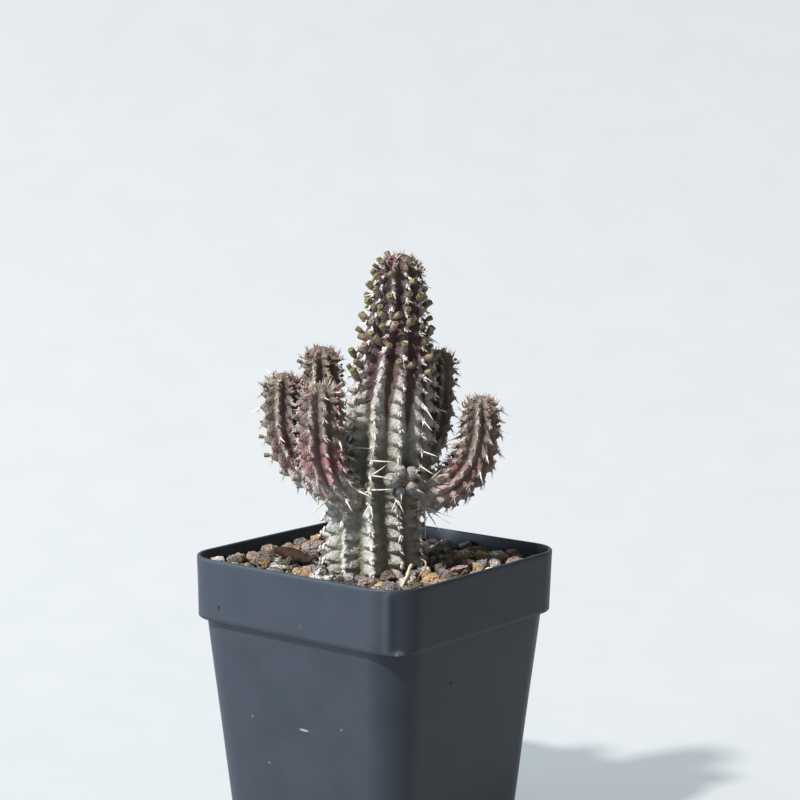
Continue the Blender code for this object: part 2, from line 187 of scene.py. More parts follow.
class Nodes:
    """Short names for the shader nodes that the materials use."""

    def __init__(self, name):
        self.mat = bpy.data.materials.new(name)
        self.mat.use_nodes = True
        self.tree = self.mat.node_tree
        self.shader = self.tree.nodes["Principled BSDF"]
        self.here = self.add("TexCoord").outputs["Object"]

    def link(self, value, socket):
        if isinstance(value, bpy.types.NodeSocket):
            self.tree.links.new(value, socket)
        elif isinstance(value, tuple):
            socket.default_value = (*value, 1.0) if len(value) == 3 else value
        else:
            socket.default_value = value

    def add(self, kind, **inputs):
        node = self.tree.nodes.new("ShaderNode" + kind)
        for name, value in inputs.items():
            self.link(value, node.inputs[name])
        return node

    def tint(self):
        """The object's own colours, whole and as red, green and blue."""
        node = self.add("Attribute")
        node.attribute_name = "tint"
        split = self.add("SeparateColor", Color=node.outputs["Color"])
        return node.outputs["Color"], *split.outputs

    def noise(self, scale, detail=4.0, rough=0.55):
        node = self.add("TexNoise", Vector=self.here, Scale=scale, Detail=detail, Roughness=rough)
        return node.outputs["Fac"]

    def cells(self, scale):
        return self.add("TexVoronoi", Vector=self.here, Scale=scale).outputs["Distance"]

    def spot(self, place, size, ragged):
        """1 within an ellipsoid about a place, both in mm, with a ragged edge."""
        place, size = ([v * MM for v in row] for row in (place, size))
        shift = self.add("Mapping", Vector=self.here, Location=place, Scale=size)
        shift.vector_type = "TEXTURE"
        length = self.add("VectorMath", Vector=shift.outputs[0])
        length.operation = "LENGTH"
        return self.ramp(self.math("ADD", length.outputs["Value"], ragged), 1.6, 1.2)

    def ramp(self, value, low, high, to_low=0.0, to_high=1.0):
        node = self.add("MapRange", Value=value)
        node.interpolation_type = "SMOOTHSTEP"
        for socket, number in zip(node.inputs[1:5], (low, high, to_low, to_high)):
            socket.default_value = number
        return node.outputs[0]

    def math(self, operation, a, b=0.0, c=0.0):
        node = self.add("Math")
        node.operation = operation
        for socket, value in zip(node.inputs, (a, b, c)):
            self.link(value, socket)
        return node.outputs[0]

    def mix(self, fac, a, b, blend="MIX"):
        node = self.add("Mix")
        node.data_type = "RGBA"
        node.blend_type = blend
        self.link(fac, node.inputs[0])
        self.link(a, node.inputs[6])
        self.link(b, node.inputs[7])
        return node.outputs[2]

    def bump(self, height, distance, strength=1.0):
        return self.add("Bump", Strength=strength, Distance=distance, Height=height).outputs[0]

    def done(self, color, roughness, normal=None, **settings):
        self.link(color, self.shader.inputs["Base Color"])
        self.link(roughness, self.shader.inputs["Roughness"])
        if normal is not None:
            self.link(normal, self.shader.inputs["Normal"])
        for name, value in settings.items():
            self.shader.inputs[name.replace("_", " ")].default_value = value
        return self.mat


def shaded(color, share):
    return tuple(c * share for c in color)


def stem_look(name, wax, furrow, purple, blush, moss, mauve):
    """Waxy skin. tint holds: red, height of the rib and painted shade; green, share of purple; blue, share
    of blush.
    """
    n = Nodes(name)
    _, ridge, dark, pink = n.tint()
    grain = n.noise(900, 5, 0.65)
    patch = n.noise(160, 4, 0.6)
    fleck = n.ramp(n.noise(2600, 3, 0.7), 0.52, 0.68)
    drift = n.noise(70, 3, 0.5)
    warm_furrow = tuple(1.5 * c + d for c, d in zip(furrow, (0.05, 0.03, 0.0)))
    hollow = n.mix(n.ramp(drift, 0.42, 0.62), furrow, warm_furrow)
    raised = n.math("ADD", ridge, n.math("MULTIPLY", patch, 0.45))
    skin = n.mix(n.ramp(raised, 0.30, 0.90), hollow, wax)
    skin = n.mix(n.ramp(grain, 0.40, 0.64, 0.0, 0.6), skin, shaded(wax, 0.42))
    plum = n.mix(n.ramp(patch, 0.35, 0.65), purple, shaded(purple, 0.5))
    waxed_purple = tuple(0.62 * a + 0.38 * b for a, b in zip(purple, wax))
    plum = n.mix(n.ramp(ridge, 0.5, 1.0, 0.0, 0.5), plum, waxed_purple)
    plum = n.mix(n.ramp(drift, 0.50, 0.66, 0.0, 0.8), plum, moss)
    plum = n.mix(n.ramp(drift, 0.48, 0.34, 0.0, 0.7), plum, mauve)
    ragged = n.math("MULTIPLY", n.math("SUBTRACT", patch, 0.5), 0.5)
    skin = n.mix(n.ramp(n.math("ADD", dark, ragged), 0.3, 0.7), skin, plum)
    skin = n.mix(n.math("MULTIPLY", pink, n.ramp(patch, 0.4, 0.6, 0.35, 1.0)), skin, blush)
    bloom = n.math("MULTIPLY", fleck, n.ramp(ridge, 0.1, 0.7))
    bloom = n.math("MULTIPLY", bloom, n.ramp(dark, 0.0, 1.0, 0.7, 0.3))
    skin = n.mix(bloom, skin, (0.56, 0.545, 0.51))
    height = n.math("ADD", n.math("MULTIPLY", grain, 0.8), n.math("MULTIPLY", n.cells(1500), 0.6))
    rough = n.ramp(grain, 0.3, 0.7, 0.66, 0.9)
    return n.done(skin, rough, n.bump(height, 0.0005, 0.9), Specular_IOR_Level=0.3)


def tinted_look(name, scale, shade, rough, bump, light=None, specular=0.35):
    """Colour from tint, broken up by noise: for areoles, spines, buds, bark and twigs."""
    n = Nodes(name)
    color, *_ = n.tint()
    grain = n.noise(scale, 4, 0.6)
    color = n.mix(n.ramp(grain, 0.35, 0.65, shade, 0.0), color, (0.03, 0.02, 0.012))
    if light:
        color = n.mix(n.ramp(n.noise(scale * 2.3, 3), 0.55, 0.7, 0.0, 0.5), color, light)
    rough = n.ramp(grain, 0.3, 0.7, rough - 0.1, rough + 0.1)
    return n.done(color, rough, n.bump(grain, bump, 0.6), Specular_IOR_Level=specular)


def stone_look(name, color):
    """Porous crushed lava or pumice in one family of colours."""
    n = Nodes(name)
    tint, *_ = n.tint()
    patch = n.noise(420, 4, 0.6)
    grain = n.noise(2400, 4, 0.7)
    pores = n.ramp(n.cells(1500), 0.12, 0.42)
    fine = n.ramp(n.cells(3600), 0.1, 0.5)
    pale = tuple(min(c * 1.5 + 0.12, 1) for c in color)
    base = n.mix(1.0, color, tint, "MULTIPLY")
    base = n.mix(n.ramp(patch, 0.4, 0.62, 0.0, 0.6), base, shaded(color, 0.45))
    base = n.mix(n.ramp(grain, 0.5, 0.68, 0.0, 0.75), base, pale)
    # painted shade: the pits of the pores are darkened
    base = n.mix(n.ramp(pores, 0.0, 1.0, 0.75, 0.0), base, shaded(color, 0.16))
    height = n.math("ADD", n.math("MULTIPLY", pores, 0.9), n.math("MULTIPLY", fine, 0.35))
    height = n.math("ADD", height, n.math("MULTIPLY", grain, 0.6))
    return n.done(base, 0.95, n.bump(height, 0.0008, 1.0), Specular_IOR_Level=0.2)


def plastic_look():
    """Thin moulded plastic: fine haze, dust, a few marks. tint is dark on the flaw at the front corner,
    which is painted paler.
    """
    n = Nodes("pot_plastic")
    _, sound, _, _ = n.tint()
    haze = n.noise(60, 5, 0.6)
    grain = n.noise(2200, 3, 0.6)
    dust = n.ramp(n.noise(900, 5, 0.75), 0.68, 0.76)
    color = n.mix(n.ramp(haze, 0.3, 0.7), (0.020, 0.027, 0.037), (0.026, 0.033, 0.045))
    color = n.mix(n.math("MULTIPLY", dust, 0.3), color, (0.20, 0.19, 0.17))
    rubs = 0.0
    for spot, size, shade in POT_MARKS:
        mark = n.spot(spot, size, grain)
        color = n.mix(mark, color, (shade, shade, shade))
        rubs = n.math("MAXIMUM", rubs, mark)
    # the flaw at the front corner is painted a paler, mottled grey
    mottle = n.ramp(n.noise(1300, 4, 0.7), 0.4, 0.62, 0.05, 0.7)
    pale = n.math("MULTIPLY", n.ramp(sound, 0.9, 0.35), mottle)
    color = n.mix(pale, color, (0.24, 0.24, 0.24))
    rough = n.math("ADD", n.ramp(haze, 0.3, 0.7, 0.42, 0.50), n.math("MULTIPLY", rubs, 0.25))
    height = n.math("ADD", n.math("MULTIPLY", haze, 1.6), grain)
    return n.done(color, rough, n.bump(height, 0.00006, 0.5), Specular_IOR_Level=0.30)


def soil_look():
    n = Nodes("potting_mix")
    lumps = n.noise(350, 6, 0.7)
    color = n.mix(n.ramp(lumps, 0.35, 0.65), (0.02, 0.014, 0.01), (0.10, 0.07, 0.05))
    return n.done(color, 0.95, n.bump(lumps, 0.002))


# ---- stems


def smooth_path(points, steps=24):
    """Catmull-Rom curve with this many steps to a span: positions, and the distance along."""
    p = [np.array(point, float) for point in points]
    p = [2 * p[0] - p[1], *p, 2 * p[-1] - p[-2]]
    out = []
    for a, b, c, d in zip(p, p[1:], p[2:], p[3:]):
        for t in np.arange(steps) / steps:
            out.append(0.5 * (2 * b + (c - a) * t + (2 * a - 5 * b + 4 * c - d) * t * t
                              + (3 * b - a - 3 * c + d) * t ** 3))
    out = np.array([*out, p[-2]])
    run = np.concatenate([[0], np.cumsum(np.linalg.norm(np.diff(out, axis=0), axis=1))])
    return out, run


def along_path(path, run, distance):
    """Points at distances along a smooth path."""
    return np.stack([np.interp(distance, run, path[:, k]) for k in range(3)], 1)


PEAK = 0.34  # where a tubercle stands out most, as a share of its height from below
BARE_TIP = 0.7  # no tubercle stands nearer to the tip of a stem than this


class Stem:
    """A ribbed stem: its axis, its frames and the surface formula.

    radii, turn (in degrees) and rise (0 round, 1 ribbed) are rows of share of length and value. depth and
    swell are the grooves and the tubercles as shares of the radius, and wedge and spread shape them.
    """

    def __init__(self, path, radii, turn, ribs, pitch, rise=((0, 1),), start=0.0, dome=4.0,
                 depth=0.27, swell=0.27, spread=0.9, wedge=1.35):
        self.ribs, self.depth, self.swell, self.spread, self.wedge = ribs, depth, swell, spread, wedge
        line, run = smooth_path(path)
        self.length = run[-1]
        rings_per_tubercle, half_chord = 12, 0.6
        count = int((self.length - start) / (pitch / rings_per_tubercle))
        self.s = np.linspace(start, self.length - 0.05, count)
        self.p = along_path(line, run, self.s)
        ahead = along_path(line, run, self.s + half_chord)
        behind = along_path(line, run, self.s - half_chord)
        self.lay_frames(ahead - behind)
        crowd = 1 - 0.55 * smooth(self.length - 11, self.length - 2, self.s)
        step = np.gradient(self.s) / (pitch * crowd)
        self.phase = np.cumsum(step) - step[0]
        share = self.s / self.length
        blur = 21
        base = np.pad(between(radii, share), blur // 2, mode="edge")
        base = np.convolve(base, np.ones(blur) / blur, "valid")
        x = np.clip((self.s - (self.length - dome)) / dome, 0, 1)
        self.radius = base * np.sqrt(np.clip(1 - x * x, 0.0, 1)) + 0.02
        self.bearing = np.radians(between(turn, share))
        self.risen = between(rise, share)
        self.settled = smooth(0.1, 0.45, share) if start == 0 else np.ones(count)
        self.stagger = [(k * 4 / ribs) % 1.0 for k in range(ribs)]

    def lay_frames(self, way):
        """The way along the axis, t, and two ways across it, a and b, that turn as little as they can."""
        self.t = way / np.linalg.norm(way, axis=1)[:, None]
        side = np.array([1.0, 0, 0])
        sides = []
        for t in self.t[::-1]:
            side = unit(side - t * side.dot(t))
            sides.append(side)
        self.a = np.array(sides[::-1])
        self.b = np.cross(self.t, self.a)

    def reach(self, angle, i):
        """Surface distance from the axis at rib angle(s) and ring index, with the rib height and bump."""
        crest = (1 + np.cos(self.ribs * angle)) / 2
        off = np.arccos(np.clip(np.cos(self.ribs * angle), -1, 1)) / math.pi
        rib = np.round(angle * self.ribs / math.tau).astype(int) % self.ribs
        phase = self.phase[i] + np.take(self.stagger, rib)
        tau = (phase % 1.0) - PEAK
        bump = 1 - np.abs(np.where(tau < 0, tau / PEAK, tau / (1 - PEAK))) ** 1.35
        risen, radius = self.risen[i], self.radius[i]
        groove = self.depth * risen * (0.2 + 0.8 * self.settled[i])
        groove = groove * off ** self.wedge * (1 - 0.16 * off ** 4)
        fade = smooth(0.1, 1.6, self.length - self.s[i])
        lift = self.swell * risen * crest ** self.spread * (bump - 0.45) * fade
        return radius * (1 - groove + lift), crest, bump

    def outward(self, i, angle):
        angle = angle + self.bearing[i]
        return math.cos(angle) * self.a[i] + math.sin(angle) * self.b[i]

    def tubercles(self):
        """Tip, outward way, upward way and share of length of every tubercle."""
        spots = []
        for rib in range(self.ribs):
            angle = math.tau * rib / self.ribs
            for m in range(int(self.phase[-1]) + 2):
                target = m + PEAK - self.stagger[rib]
                if not self.phase[0] + 0.2 < target < self.phase[-1]:
                    continue
                i = int(np.clip(np.searchsorted(self.phase, target), 1, len(self.s) - 2))
                if self.s[i] > self.length - BARE_TIP or self.risen[i] < 0.5:
                    continue
                out = self.outward(i, angle)
                tip = self.p[i] + float(self.reach(np.array(angle), i)[0]) * out
                low, high = i - 4, min(i + 4, len(self.s) - 1)
                slope = (self.radius[high] - self.radius[low]) / (self.s[high] - self.s[low])
                out = unit(out - self.t[i] * slope)
                up = unit(self.t[i] - out * self.t[i].dot(out))
                spots.append((tip, out, up, self.s[i] / self.length))
        return spots


EVEN_ARM = [(0, 4.6), (0.30, 4.9), (0.60, 5.2), (0.82, 5.1), (1, 4.6)]
STEMS = {
    "main_stem": Stem(
        [(-0.9, 0, 60), (-0.9, 0, 76), (-0.8, 0, 90), (1.0, 0, 103), (3.2, 0, 114), (4.4, 0, 128),
         (5.2, 0, 142), (6.0, 0, 153), (6.0, 0, 161.4)],
        [(0, 6.5), (0.08, 10.5), (0.13, 12.8), (0.16, 13.5), (0.28, 12.9), (0.40, 12.1), (0.52, 11.8),
         (0.62, 11.3), (0.72, 9.8), (0.80, 7.8), (0.87, 6.6), (0.94, 5.9), (1.0, 5.0)],
        [(0, 304), (0.25, 303), (0.60, 281), (0.88, 291), (1.0, 288)], 11, 3.75,
        rise=[(0, 0.0), (0.10, 0.6), (0.14, 1.0)], start=10.0, dome=5.5, depth=0.215, swell=0.16,
        spread=0.75, wedge=1.2),
    "arm_left": Stem(
        [(-6, 0.4, 97.5), (-13, 0.8, 98.8), (-19.2, 1, 102.6), (-23.6, 1, 108.5), (-25.6, 1, 117),
         (-25.3, 1, 128.8)],
        EVEN_ARM, [(0, 260)], 9, 4.0),
    "arm_front_left": Stem(
        [(-2.4, -4, 96.8), (-8.3, -8.6, 97.5), (-12.2, -10.9, 102), (-14.1, -11.4, 109.3),
         (-14.6, -11.8, 117.3), (-14.6, -11.6, 127.6)],
        [(0, 4.8), (0.30, 5.4), (0.60, 6.0), (0.82, 5.7), (1, 5.0)], [(0, 280)], 10, 4.2),
    "arm_back_left": Stem(
        [(-4, 6, 101), (-9.5, 11, 103.2), (-13.4, 14, 108), (-15.2, 15, 115), (-15.6, 15, 124),
         (-15.5, 14.6, 134.6)],
        EVEN_ARM, [(0, 252)], 9, 4.0),
    "arm_right": Stem(
        [(5, -0.6, 96), (12.5, -1.4, 96.4), (20, -2.2, 98.8), (25.4, -2.8, 104.4), (27.8, -3, 112),
         (28.2, -3, 123.4)],
        [(0, 4.9), (0.30, 5.2), (0.60, 5.3), (0.82, 4.9), (1, 4.2)], [(0, 260)], 10, 4.0),
    "arm_back_right": Stem(
        [(5, 5, 100), (10.5, 10.5, 103), (14.2, 13.4, 109), (16, 14.4, 117), (16.7, 14.4, 125),
         (17, 14, 134)],
        [(0, 4.6), (0.30, 4.8), (0.60, 4.7), (0.82, 4.5), (1, 4.0)], [(0, 242)], 9, 4.0),
}
ARM_BLUSH = {"arm_front_left": 1.0, "arm_right": 0.6}  # how pink an arm's middle is, if not 0.3


def jitter(points, scale, seed):
    """Soft 3-D noise, one value a point."""
    shift = Vector((seed * 7.3, seed * 3.1, seed * 1.7))
    return np.array([noise.noise(Vector(p) * scale + shift) for p in points])


def stem_tint(name, stem, i, crest, bump):
    """Height of the rib with painted shade under the arms, share of purple and share of blush round a ring,
    as stem_look reads them.
    """
    z, share = stem.p[i][2], stem.s[i] / stem.length
    ridge = crest ** 0.6
    ridge = (ridge + (0.75 - ridge) * (1 - stem.settled[i])) * (0.6 + 0.4 * bump)
    if name == "main_stem":
        # painted shade: the main stem is darker and greener from z 89 to 116, under the arms
        ridge = ridge * (1 - 0.62 * smooth(89, 97, z) * (1 - smooth(106, 116, z)))
        purple = smooth(122, 142, z + 16 * (1 - crest) - 3 * crest)
        pink = 0.35 * smooth(120, 128, z) * (1 - smooth(132, 150, z)) * crest
    else:
        purple = smooth(0.30, 0.62, share + 0.1 * (1 - crest))
        pink = ARM_BLUSH.get(name, 0.3) * smooth(0.2, 0.42, share) * (1 - smooth(0.5, 0.72, share))
        pink = pink * (0.2 + 0.8 * crest)
    return np.stack([ridge, purple, pink], 1)


def build_stem(name, stem, look, slot, seed):
    """The skin as a grid of rings, with its own UV grid."""
    around = stem.ribs * (16 if name == "main_stem" else 14)
    count = len(stem.s)
    angles = np.arange(around) * math.tau / around
    rings, tints = [], []
    for i in range(count):
        reach, crest, bump = stem.reach(angles, i)
        turned = angles + stem.bearing[i]
        out = np.cos(turned)[:, None] * stem.a[i] + np.sin(turned)[:, None] * stem.b[i]
        rings.append(stem.p[i] + reach[:, None] * out)
        tints.append(stem_tint(name, stem, i, crest, bump))
    verts = np.concatenate(rings)
    lumps = jitter(verts, 0.35, seed) * 0.22 + jitter(verts, 1.4, seed + 1) * 0.05
    away = verts - np.repeat(stem.p, around, axis=0)
    away = away / np.maximum(np.linalg.norm(away, axis=1), 1e-6)[:, None]
    fade = np.repeat(smooth(0, 1.5, stem.length - stem.s), around)
    verts = verts + away * (lumps * fade)[:, None]
    faces, uv = ring_faces(count, around, ends=False), []
    for r in range(count - 1):
        v0, v1 = r / count, (r + 1) / count
        for i in range(around):
            u0, u1 = i / around, (i + 1) / around
            uv += [(u0, v0), (u1, v0), (u1, v1), (u0, v1)]
    tip, foot, top = len(verts), len(verts) + 1, (count - 1) * around
    for i in range(around):
        j, u0, u1 = (i + 1) % around, i / around, (i + 1) / around
        faces += [(top + i, top + j, tip), (j, i, foot)]
        uv += [(u0, (count - 1) / count), (u1, (count - 1) / count), ((u0 + u1) / 2, 1.0)]
        uv += [(u1, 0.0), (u0, 0.0), ((u0 + u1) / 2, 0.0)]
    verts = np.concatenate([verts, [stem.p[-1] + stem.t[-1] * 0.05], [stem.p[0]]])
    tints = np.concatenate([*tints, [[0.3, tints[-1][0, 1], 0]], [[0.3, 0, 0]]])
    batch = Batch()
    batch.add(verts, faces, tints)
    batch.build(name + "_skin", look, slot, [name], uv=uv)


# ---- areoles, spines, buds, beads


SPINE_SIDES = 5
SPINE = lathe([(1.0, 0, 0), (0.72, 0.35, 0), (0.42, 0.7, 0), (0.08, 1.0, 0)], SPINE_SIDES)
SPINE_BEND = np.repeat((0.0, 0.02, 0.07, 0.15), SPINE_SIDES)
BUD_LOBES = 5
BUD_SIDES = 3 * BUD_LOBES
BUD_ROWS = [(0.50, 0.0, 0), (0.52, 0.5, 0), (0.62, 1.0, 0), (0.86, 1.4, 0), (1.00, 1.9, 0.2),
            (1.03, 2.5, 0.5), (1.02, 2.9, 0.7), (1.07, 3.2, 1), (1.05, 3.45, 1), (0.90, 3.66, 1),
            (0.66, 3.72, 0.6), (0.42, 3.5, 0), (0.28, 3.66, 0), (0.08, 3.8, 0)]
BUD = lathe(BUD_ROWS, BUD_SIDES, lobes=BUD_LOBES, lobe_depth=0.16)
STRAW, TAN, DARK = (0.72, 0.68, 0.61), (0.42, 0.34, 0.27), (0.13, 0.07, 0.06)


def add_spine(batch, foot, way, length, radius, color, tip_color, rng):
    """A slightly bent cone that fades from one colour at its foot to another at its tip."""
    turn = basis(way, (rng.uniform(-1, 1), rng.uniform(-1, 1), rng.uniform(-1, 1)))
    verts, faces = SPINE
    x, y, z = verts.T
    local = np.stack([x * radius + SPINE_BEND * length * 0.45, y * radius, z * length], 1)
    shade = z[:, None]
    batch.add(foot + local @ turn.T, faces, np.array(color) * (1 - shade) + np.array(tip_color) * shade)


def add_areole(batch, tip, out, up, size, rng, shade=1.0):
    """A crusty pale pad of three lumps that runs down from the tubercle's tip."""
    verts, faces = BALLS[2]
    turn = np.stack([np.cross(up, out), up, out], 1)
    half_size = np.array((0.50, 0.62, 0.36)) * size
    shift = rng.uniform(0, 90)
    for k in range(3):
        push = np.array([rng.uniform(-0.45, 0.45), rng.uniform(-0.55, 0.25), 0.0]) * size
        rough = 1 + 0.6 * np.array([noise.noise(Vector(v) * 2.4 + Vector((shift, k, 0))) for v in verts])
        local = verts * rough[:, None] * half_size + push
        pale = rng.uniform(0.50, 0.78) * shade
        batch.add(tip + local @ turn.T, faces, np.array([pale, pale * 0.97, pale * 0.92]))


def add_bud(batch, foot, way, scale, stretch, hue, rng):
    """A flower bud: stalk, barrel, lobed rim and sunken heart. hue runs from 0, reddish, to 1, olive."""
    verts, faces = BUD
    turn = basis(way, (rng.uniform(-1, 1), rng.uniform(-1, 1), 0.3))
    local = verts * (scale, scale, scale * stretch)
    stalk, heart = (0.14, 0.085, 0.075), (0.08, 0.075, 0.02)
    barrel = np.array([0.24, 0.155, 0.125]) * (1 - hue) + np.array([0.17, 0.155, 0.085]) * hue
    rim = np.array([0.14, 0.132, 0.05]) * (1 - 0.3 * hue)
    if rng.random() < 0.22:
        rim = np.array([0.25, 0.17, 0.13])
    height = verts[:, 2:3]
    middle = np.hypot(verts[:, :1], verts[:, 1:2]) < 0.55
    lobe = np.array([i % 3 == 0 for i in range(BUD_SIDES)] * len(BUD_ROWS))[:, None]
    color = np.where(height < 1.2, stalk, barrel)
    color = np.where(height > 3.1, rim, color)
    color = np.where(middle & (height > 3), heart, color)
    color = np.where(lobe & (height > 3.1), color * 1.3, color)
    batch.add(foot + local @ turn.T, faces, color * rng.uniform(0.75, 1.2))


def hidden(tip, is_main):
    """Whether a tubercle is in the soil or, on an arm, within the main stem."""
    if is_main:
        return tip[2] < SOIL_TOP + 0.6
    axis = STEMS["main_stem"].p
    core = axis[np.argmin(abs(axis[:, 2] - tip[2]))]
    return np.hypot(*(tip - core)[:2]) < 12.6 and tip[2] < 112


def grow_spines(spines, tip, out, up, size, is_main, near_top, rng):
    """The short spines of one areole, and now and then a longer one."""
    side, z = np.cross(up, out), tip[2]
    for _ in range(rng.choice((3, 4, 4, 5) if is_main else (4, 5, 5, 6))):
        rising = rng.uniform(-0.2, 0.9) if near_top else rng.uniform(-1.1, -0.2)
        way = out * rng.uniform(0.45, 0.9) + up * rising + side * rng.uniform(-0.65, 0.65)
        length = rng.uniform(0.9, 1.7) * (1.0 if z < 92 else 1.2 if is_main else 1.3)
        color, end = (STRAW, STRAW) if not near_top or rng.random() < 0.4 else (TAN, DARK)
        if not is_main:
            color, end = (np.array(shade) * (0.74, 0.70, 0.66) for shade in (color, end))
        foot = tip - up * 0.4 * size + side * rng.uniform(-0.45, 0.45) * size
        girth = rng.uniform(0.16, 0.25) if is_main else rng.uniform(0.11, 0.16)
        add_spine(spines, foot, way, length, girth, color, end, rng)
    if rng.random() < (0.16 if is_main else 0.10) and z > 90:
        way = out * 0.8 - up * rng.uniform(0.2, 0.7) + side * rng.uniform(-0.5, 0.5)
        add_spine(spines, tip, way, rng.uniform(2.6, 4.0), 0.24, STRAW, STRAW, rng)


def grow_buds(buds, beads, tip, out, up, share, is_main, rng):
    """Flower buds on the upper main stem, a few small ones on the arms, and pink young ones on both."""
    side, z = np.cross(up, out), tip[2]
    bare = is_main and z > 150 and tip[0] > 9
    if is_main and 126 < z < 158.5 and not bare and rng.random() < 0.84:
        for aside in (0.0,) if rng.random() < 0.85 else (-0.7, 0.7):
            way = out * 0.85 + up * rng.uniform(0.05, 1.0) + side * (rng.uniform(-0.45, 0.45) + aside)
            scale = rng.uniform(0.70, 1.04) * (0.76 if z > 154 else 1.0)
            foot = tip + up * rng.uniform(0.7, 1.1) - out * 0.45 + side * aside
            add_bud(buds, foot, way, scale, rng.uniform(0.7, 1.2), rng.random(), rng)
    elif not is_main and 0.45 < share < 0.9 and rng.random() < 0.10:
        foot, way = tip + up * 0.7 - out * 0.3, out * 0.85 + up * 0.5
        add_bud(buds, foot, way, rng.uniform(0.5, 0.7), 0.9, rng.random(), rng)
    elif (not is_main and 0.3 < share and rng.random() < 0.26) or (z > 145 and rng.random() < 0.5):
        verts, faces = BALLS[2]
        radius = rng.uniform(0.34, 0.55)
        pink = np.array([0.34, 0.075, 0.09]) * rng.uniform(0.5, 1.2)
        beads.add(tip + up * rng.uniform(0.7, 1.1) + out * 0.05 + verts * radius, faces, pink)


def grow_tuft(spines, pads, name, stem, rng):
    """The crown of young spines at the tip of a stem, pale and full on one arm."""
    count, color, end, girth, longest = 22, TAN, DARK, 0.12, 2.2
    if name == "main_stem":
        count = 26
    elif name == "arm_front_left":
        count, color, end, girth, longest = 70, (0.80, 0.60, 0.47), STRAW, 0.16, 2.6
    last = len(stem.s) - 1
    for k in range(count):
        bearing, lean = rng.uniform(0, math.tau), rng.uniform(0.1, 1.2)
        flat = math.cos(bearing) * stem.a[-1] + math.sin(bearing) * stem.b[-1]
        way = stem.t[-1] + flat * lean
        i = int(np.clip(last - lean * 8, 0, last))
        foot = stem.p[i] + flat * stem.radius[i] * 0.7
        add_spine(spines, foot, way, rng.uniform(1.3, longest), girth, color, end, rng)
        if k % 2:
            add_areole(pads, foot, unit(way), np.cross(flat, unit(way)), 0.42, rng)


def build_small_parts():
    rng = random.Random(11)
    pads, spines, longs, buds, beads = (Batch() for _ in range(5))
    for name, stem in STEMS.items():
        is_main = name == "main_stem"
        for tip, out, up, share in stem.tubercles():
            if hidden(tip, is_main):
                continue
            near_top = stem.length * (1 - share) < 5
            size = (1.05 if tip[2] < 95 else 0.86) if is_main else 0.66
            size *= rng.uniform(0.75, 1.2) * (0.6 if near_top else 1.0)
            add_areole(pads, tip + out * 0.05, out, up, size, rng, 1.0 if is_main else 0.62)
            grow_spines(spines, tip, out, up, size, is_main, near_top, rng)
            grow_buds(buds, beads, tip, out, up, share, is_main, rng)
        grow_tuft(spines, pads, name, stem, rng)
    build_long_spines(longs, rng)
    crust = tinted_look("areole_crust", 3200, 0.55, 0.9, 0.0003, (0.78, 0.76, 0.70))
    dry = tinted_look("spine_straw", 2600, 0.25, 0.6, 0.0001)
    bud = tinted_look("bud_skin", 2400, 0.35, 0.55, 0.00012, (0.40, 0.37, 0.24))
    bead = tinted_look("bead_skin", 2600, 0.3, 0.4, 0.0001, specular=0.6)
    pads.build("areole_pads", crust, "waxy_stem")
    spines.build("short_spines", dry, "dry_spine")
    longs.build("long_spines", dry, "dry_spine", node_names("long_spine"))
    buds.build("flower_buds", bud, "bud", node_names("flower_bud"))
    beads.build("young_buds", bead, "purple_stem")


# Long spines: host stem, a point near their tubercle and the reach of each, in mm
LONG_SPINES = [
    ("arm_right", (14, -6, 92.6), [(-1.8, -2.8, -3.8), (0.5, -2.4, -8.4), (4.2, -2.4, -7.0),
                                   (7.0, -2.2, -5.0), (7.4, -1.2, -3.2), (-3.8, -2.4, -1.0)]),
    ("main_stem", (7, -11, 95.6), [(-1.6, -2.8, -3.4), (1.8, -2.8, -3.4)]),
    ("main_stem", (0, -13, 96), [(-1.8, -3.0, -2.8), (1.2, -3.0, -3.2)]),
    ("main_stem", (11, -9, 121), [(3.2, -3.4, -3.6)]), ("main_stem", (11, -9, 108), [(4.6, -3.6, -1.0)]),
    ("main_stem", (11, -9, 106), [(4.0, -3.4, -2.2)]), ("arm_right", (14.6, -6, 101), [(4.6, -3.0, 2.6)]),
    ("arm_right", (13, -5, 102), [(3.0, -3.4, 3.4)]),
    ("arm_front_left", (-13, -13, 97), [(-5.6, -3.4, -4.0)]),
    ("main_stem", (-5, -12, 110), [(5.6, -2.6, 0.5)]), ("main_stem", (-5, -12, 108), [(6.0, -2.4, 0.2)]),
    ("main_stem", (-4, -12, 104), [(4.6, -3.0, 3.2)]), ("main_stem", (-3, -12, 101), [(6.4, -2.6, 0.4)]),
    ("arm_front_left", (-6, -14, 100), [(4.2, -3.6, -1.4)]),
    ("arm_front_left", (-9, -16, 97), [(2.2, -2.6, -3.4)]),
    ("main_stem", (2, -12, 103), [(4.8, -2.8, 0.2)]), ("main_stem", (9, -9, 118), [(2.6, -3.6, -2.8)]),
    ("main_stem", (-7, 11, 98), [(-2.0, 4.2, -3.0)]), ("main_stem", (6, 12, 96), [(1.4, 4.6, -2.8)]),
    ("arm_back_left", (-8, 16, 99), [(-3.0, 3.4, -3.6)]),
    ("arm_back_right", (12, 15, 100), [(3.2, 3.6, -2.8)]),
]


def build_long_spines(batch, rng):
    for host, near, reaches in LONG_SPINES:
        tip, out, *_ = min(STEMS[host].tubercles(), key=lambda spot: np.linalg.norm(spot[0] - near))
        for way in reaches:
            length = np.linalg.norm(way)
            add_spine(batch, tip - out * 0.2, way, length, 0.30, (0.62, 0.57, 0.48), (0.74, 0.70, 0.63), rng)


# ---- front offset


# Each knob: bearing in degrees about the heart, distance from it and size; the last lies under the heart
KNOBS = [(170, 3.2, 2.1), (105, 3.0, 1.95), (40, 3.1, 1.95), (-36, 2.9, 1.95), (-108, 2.7, 1.3),
         (0, 0.0, 1.9)]


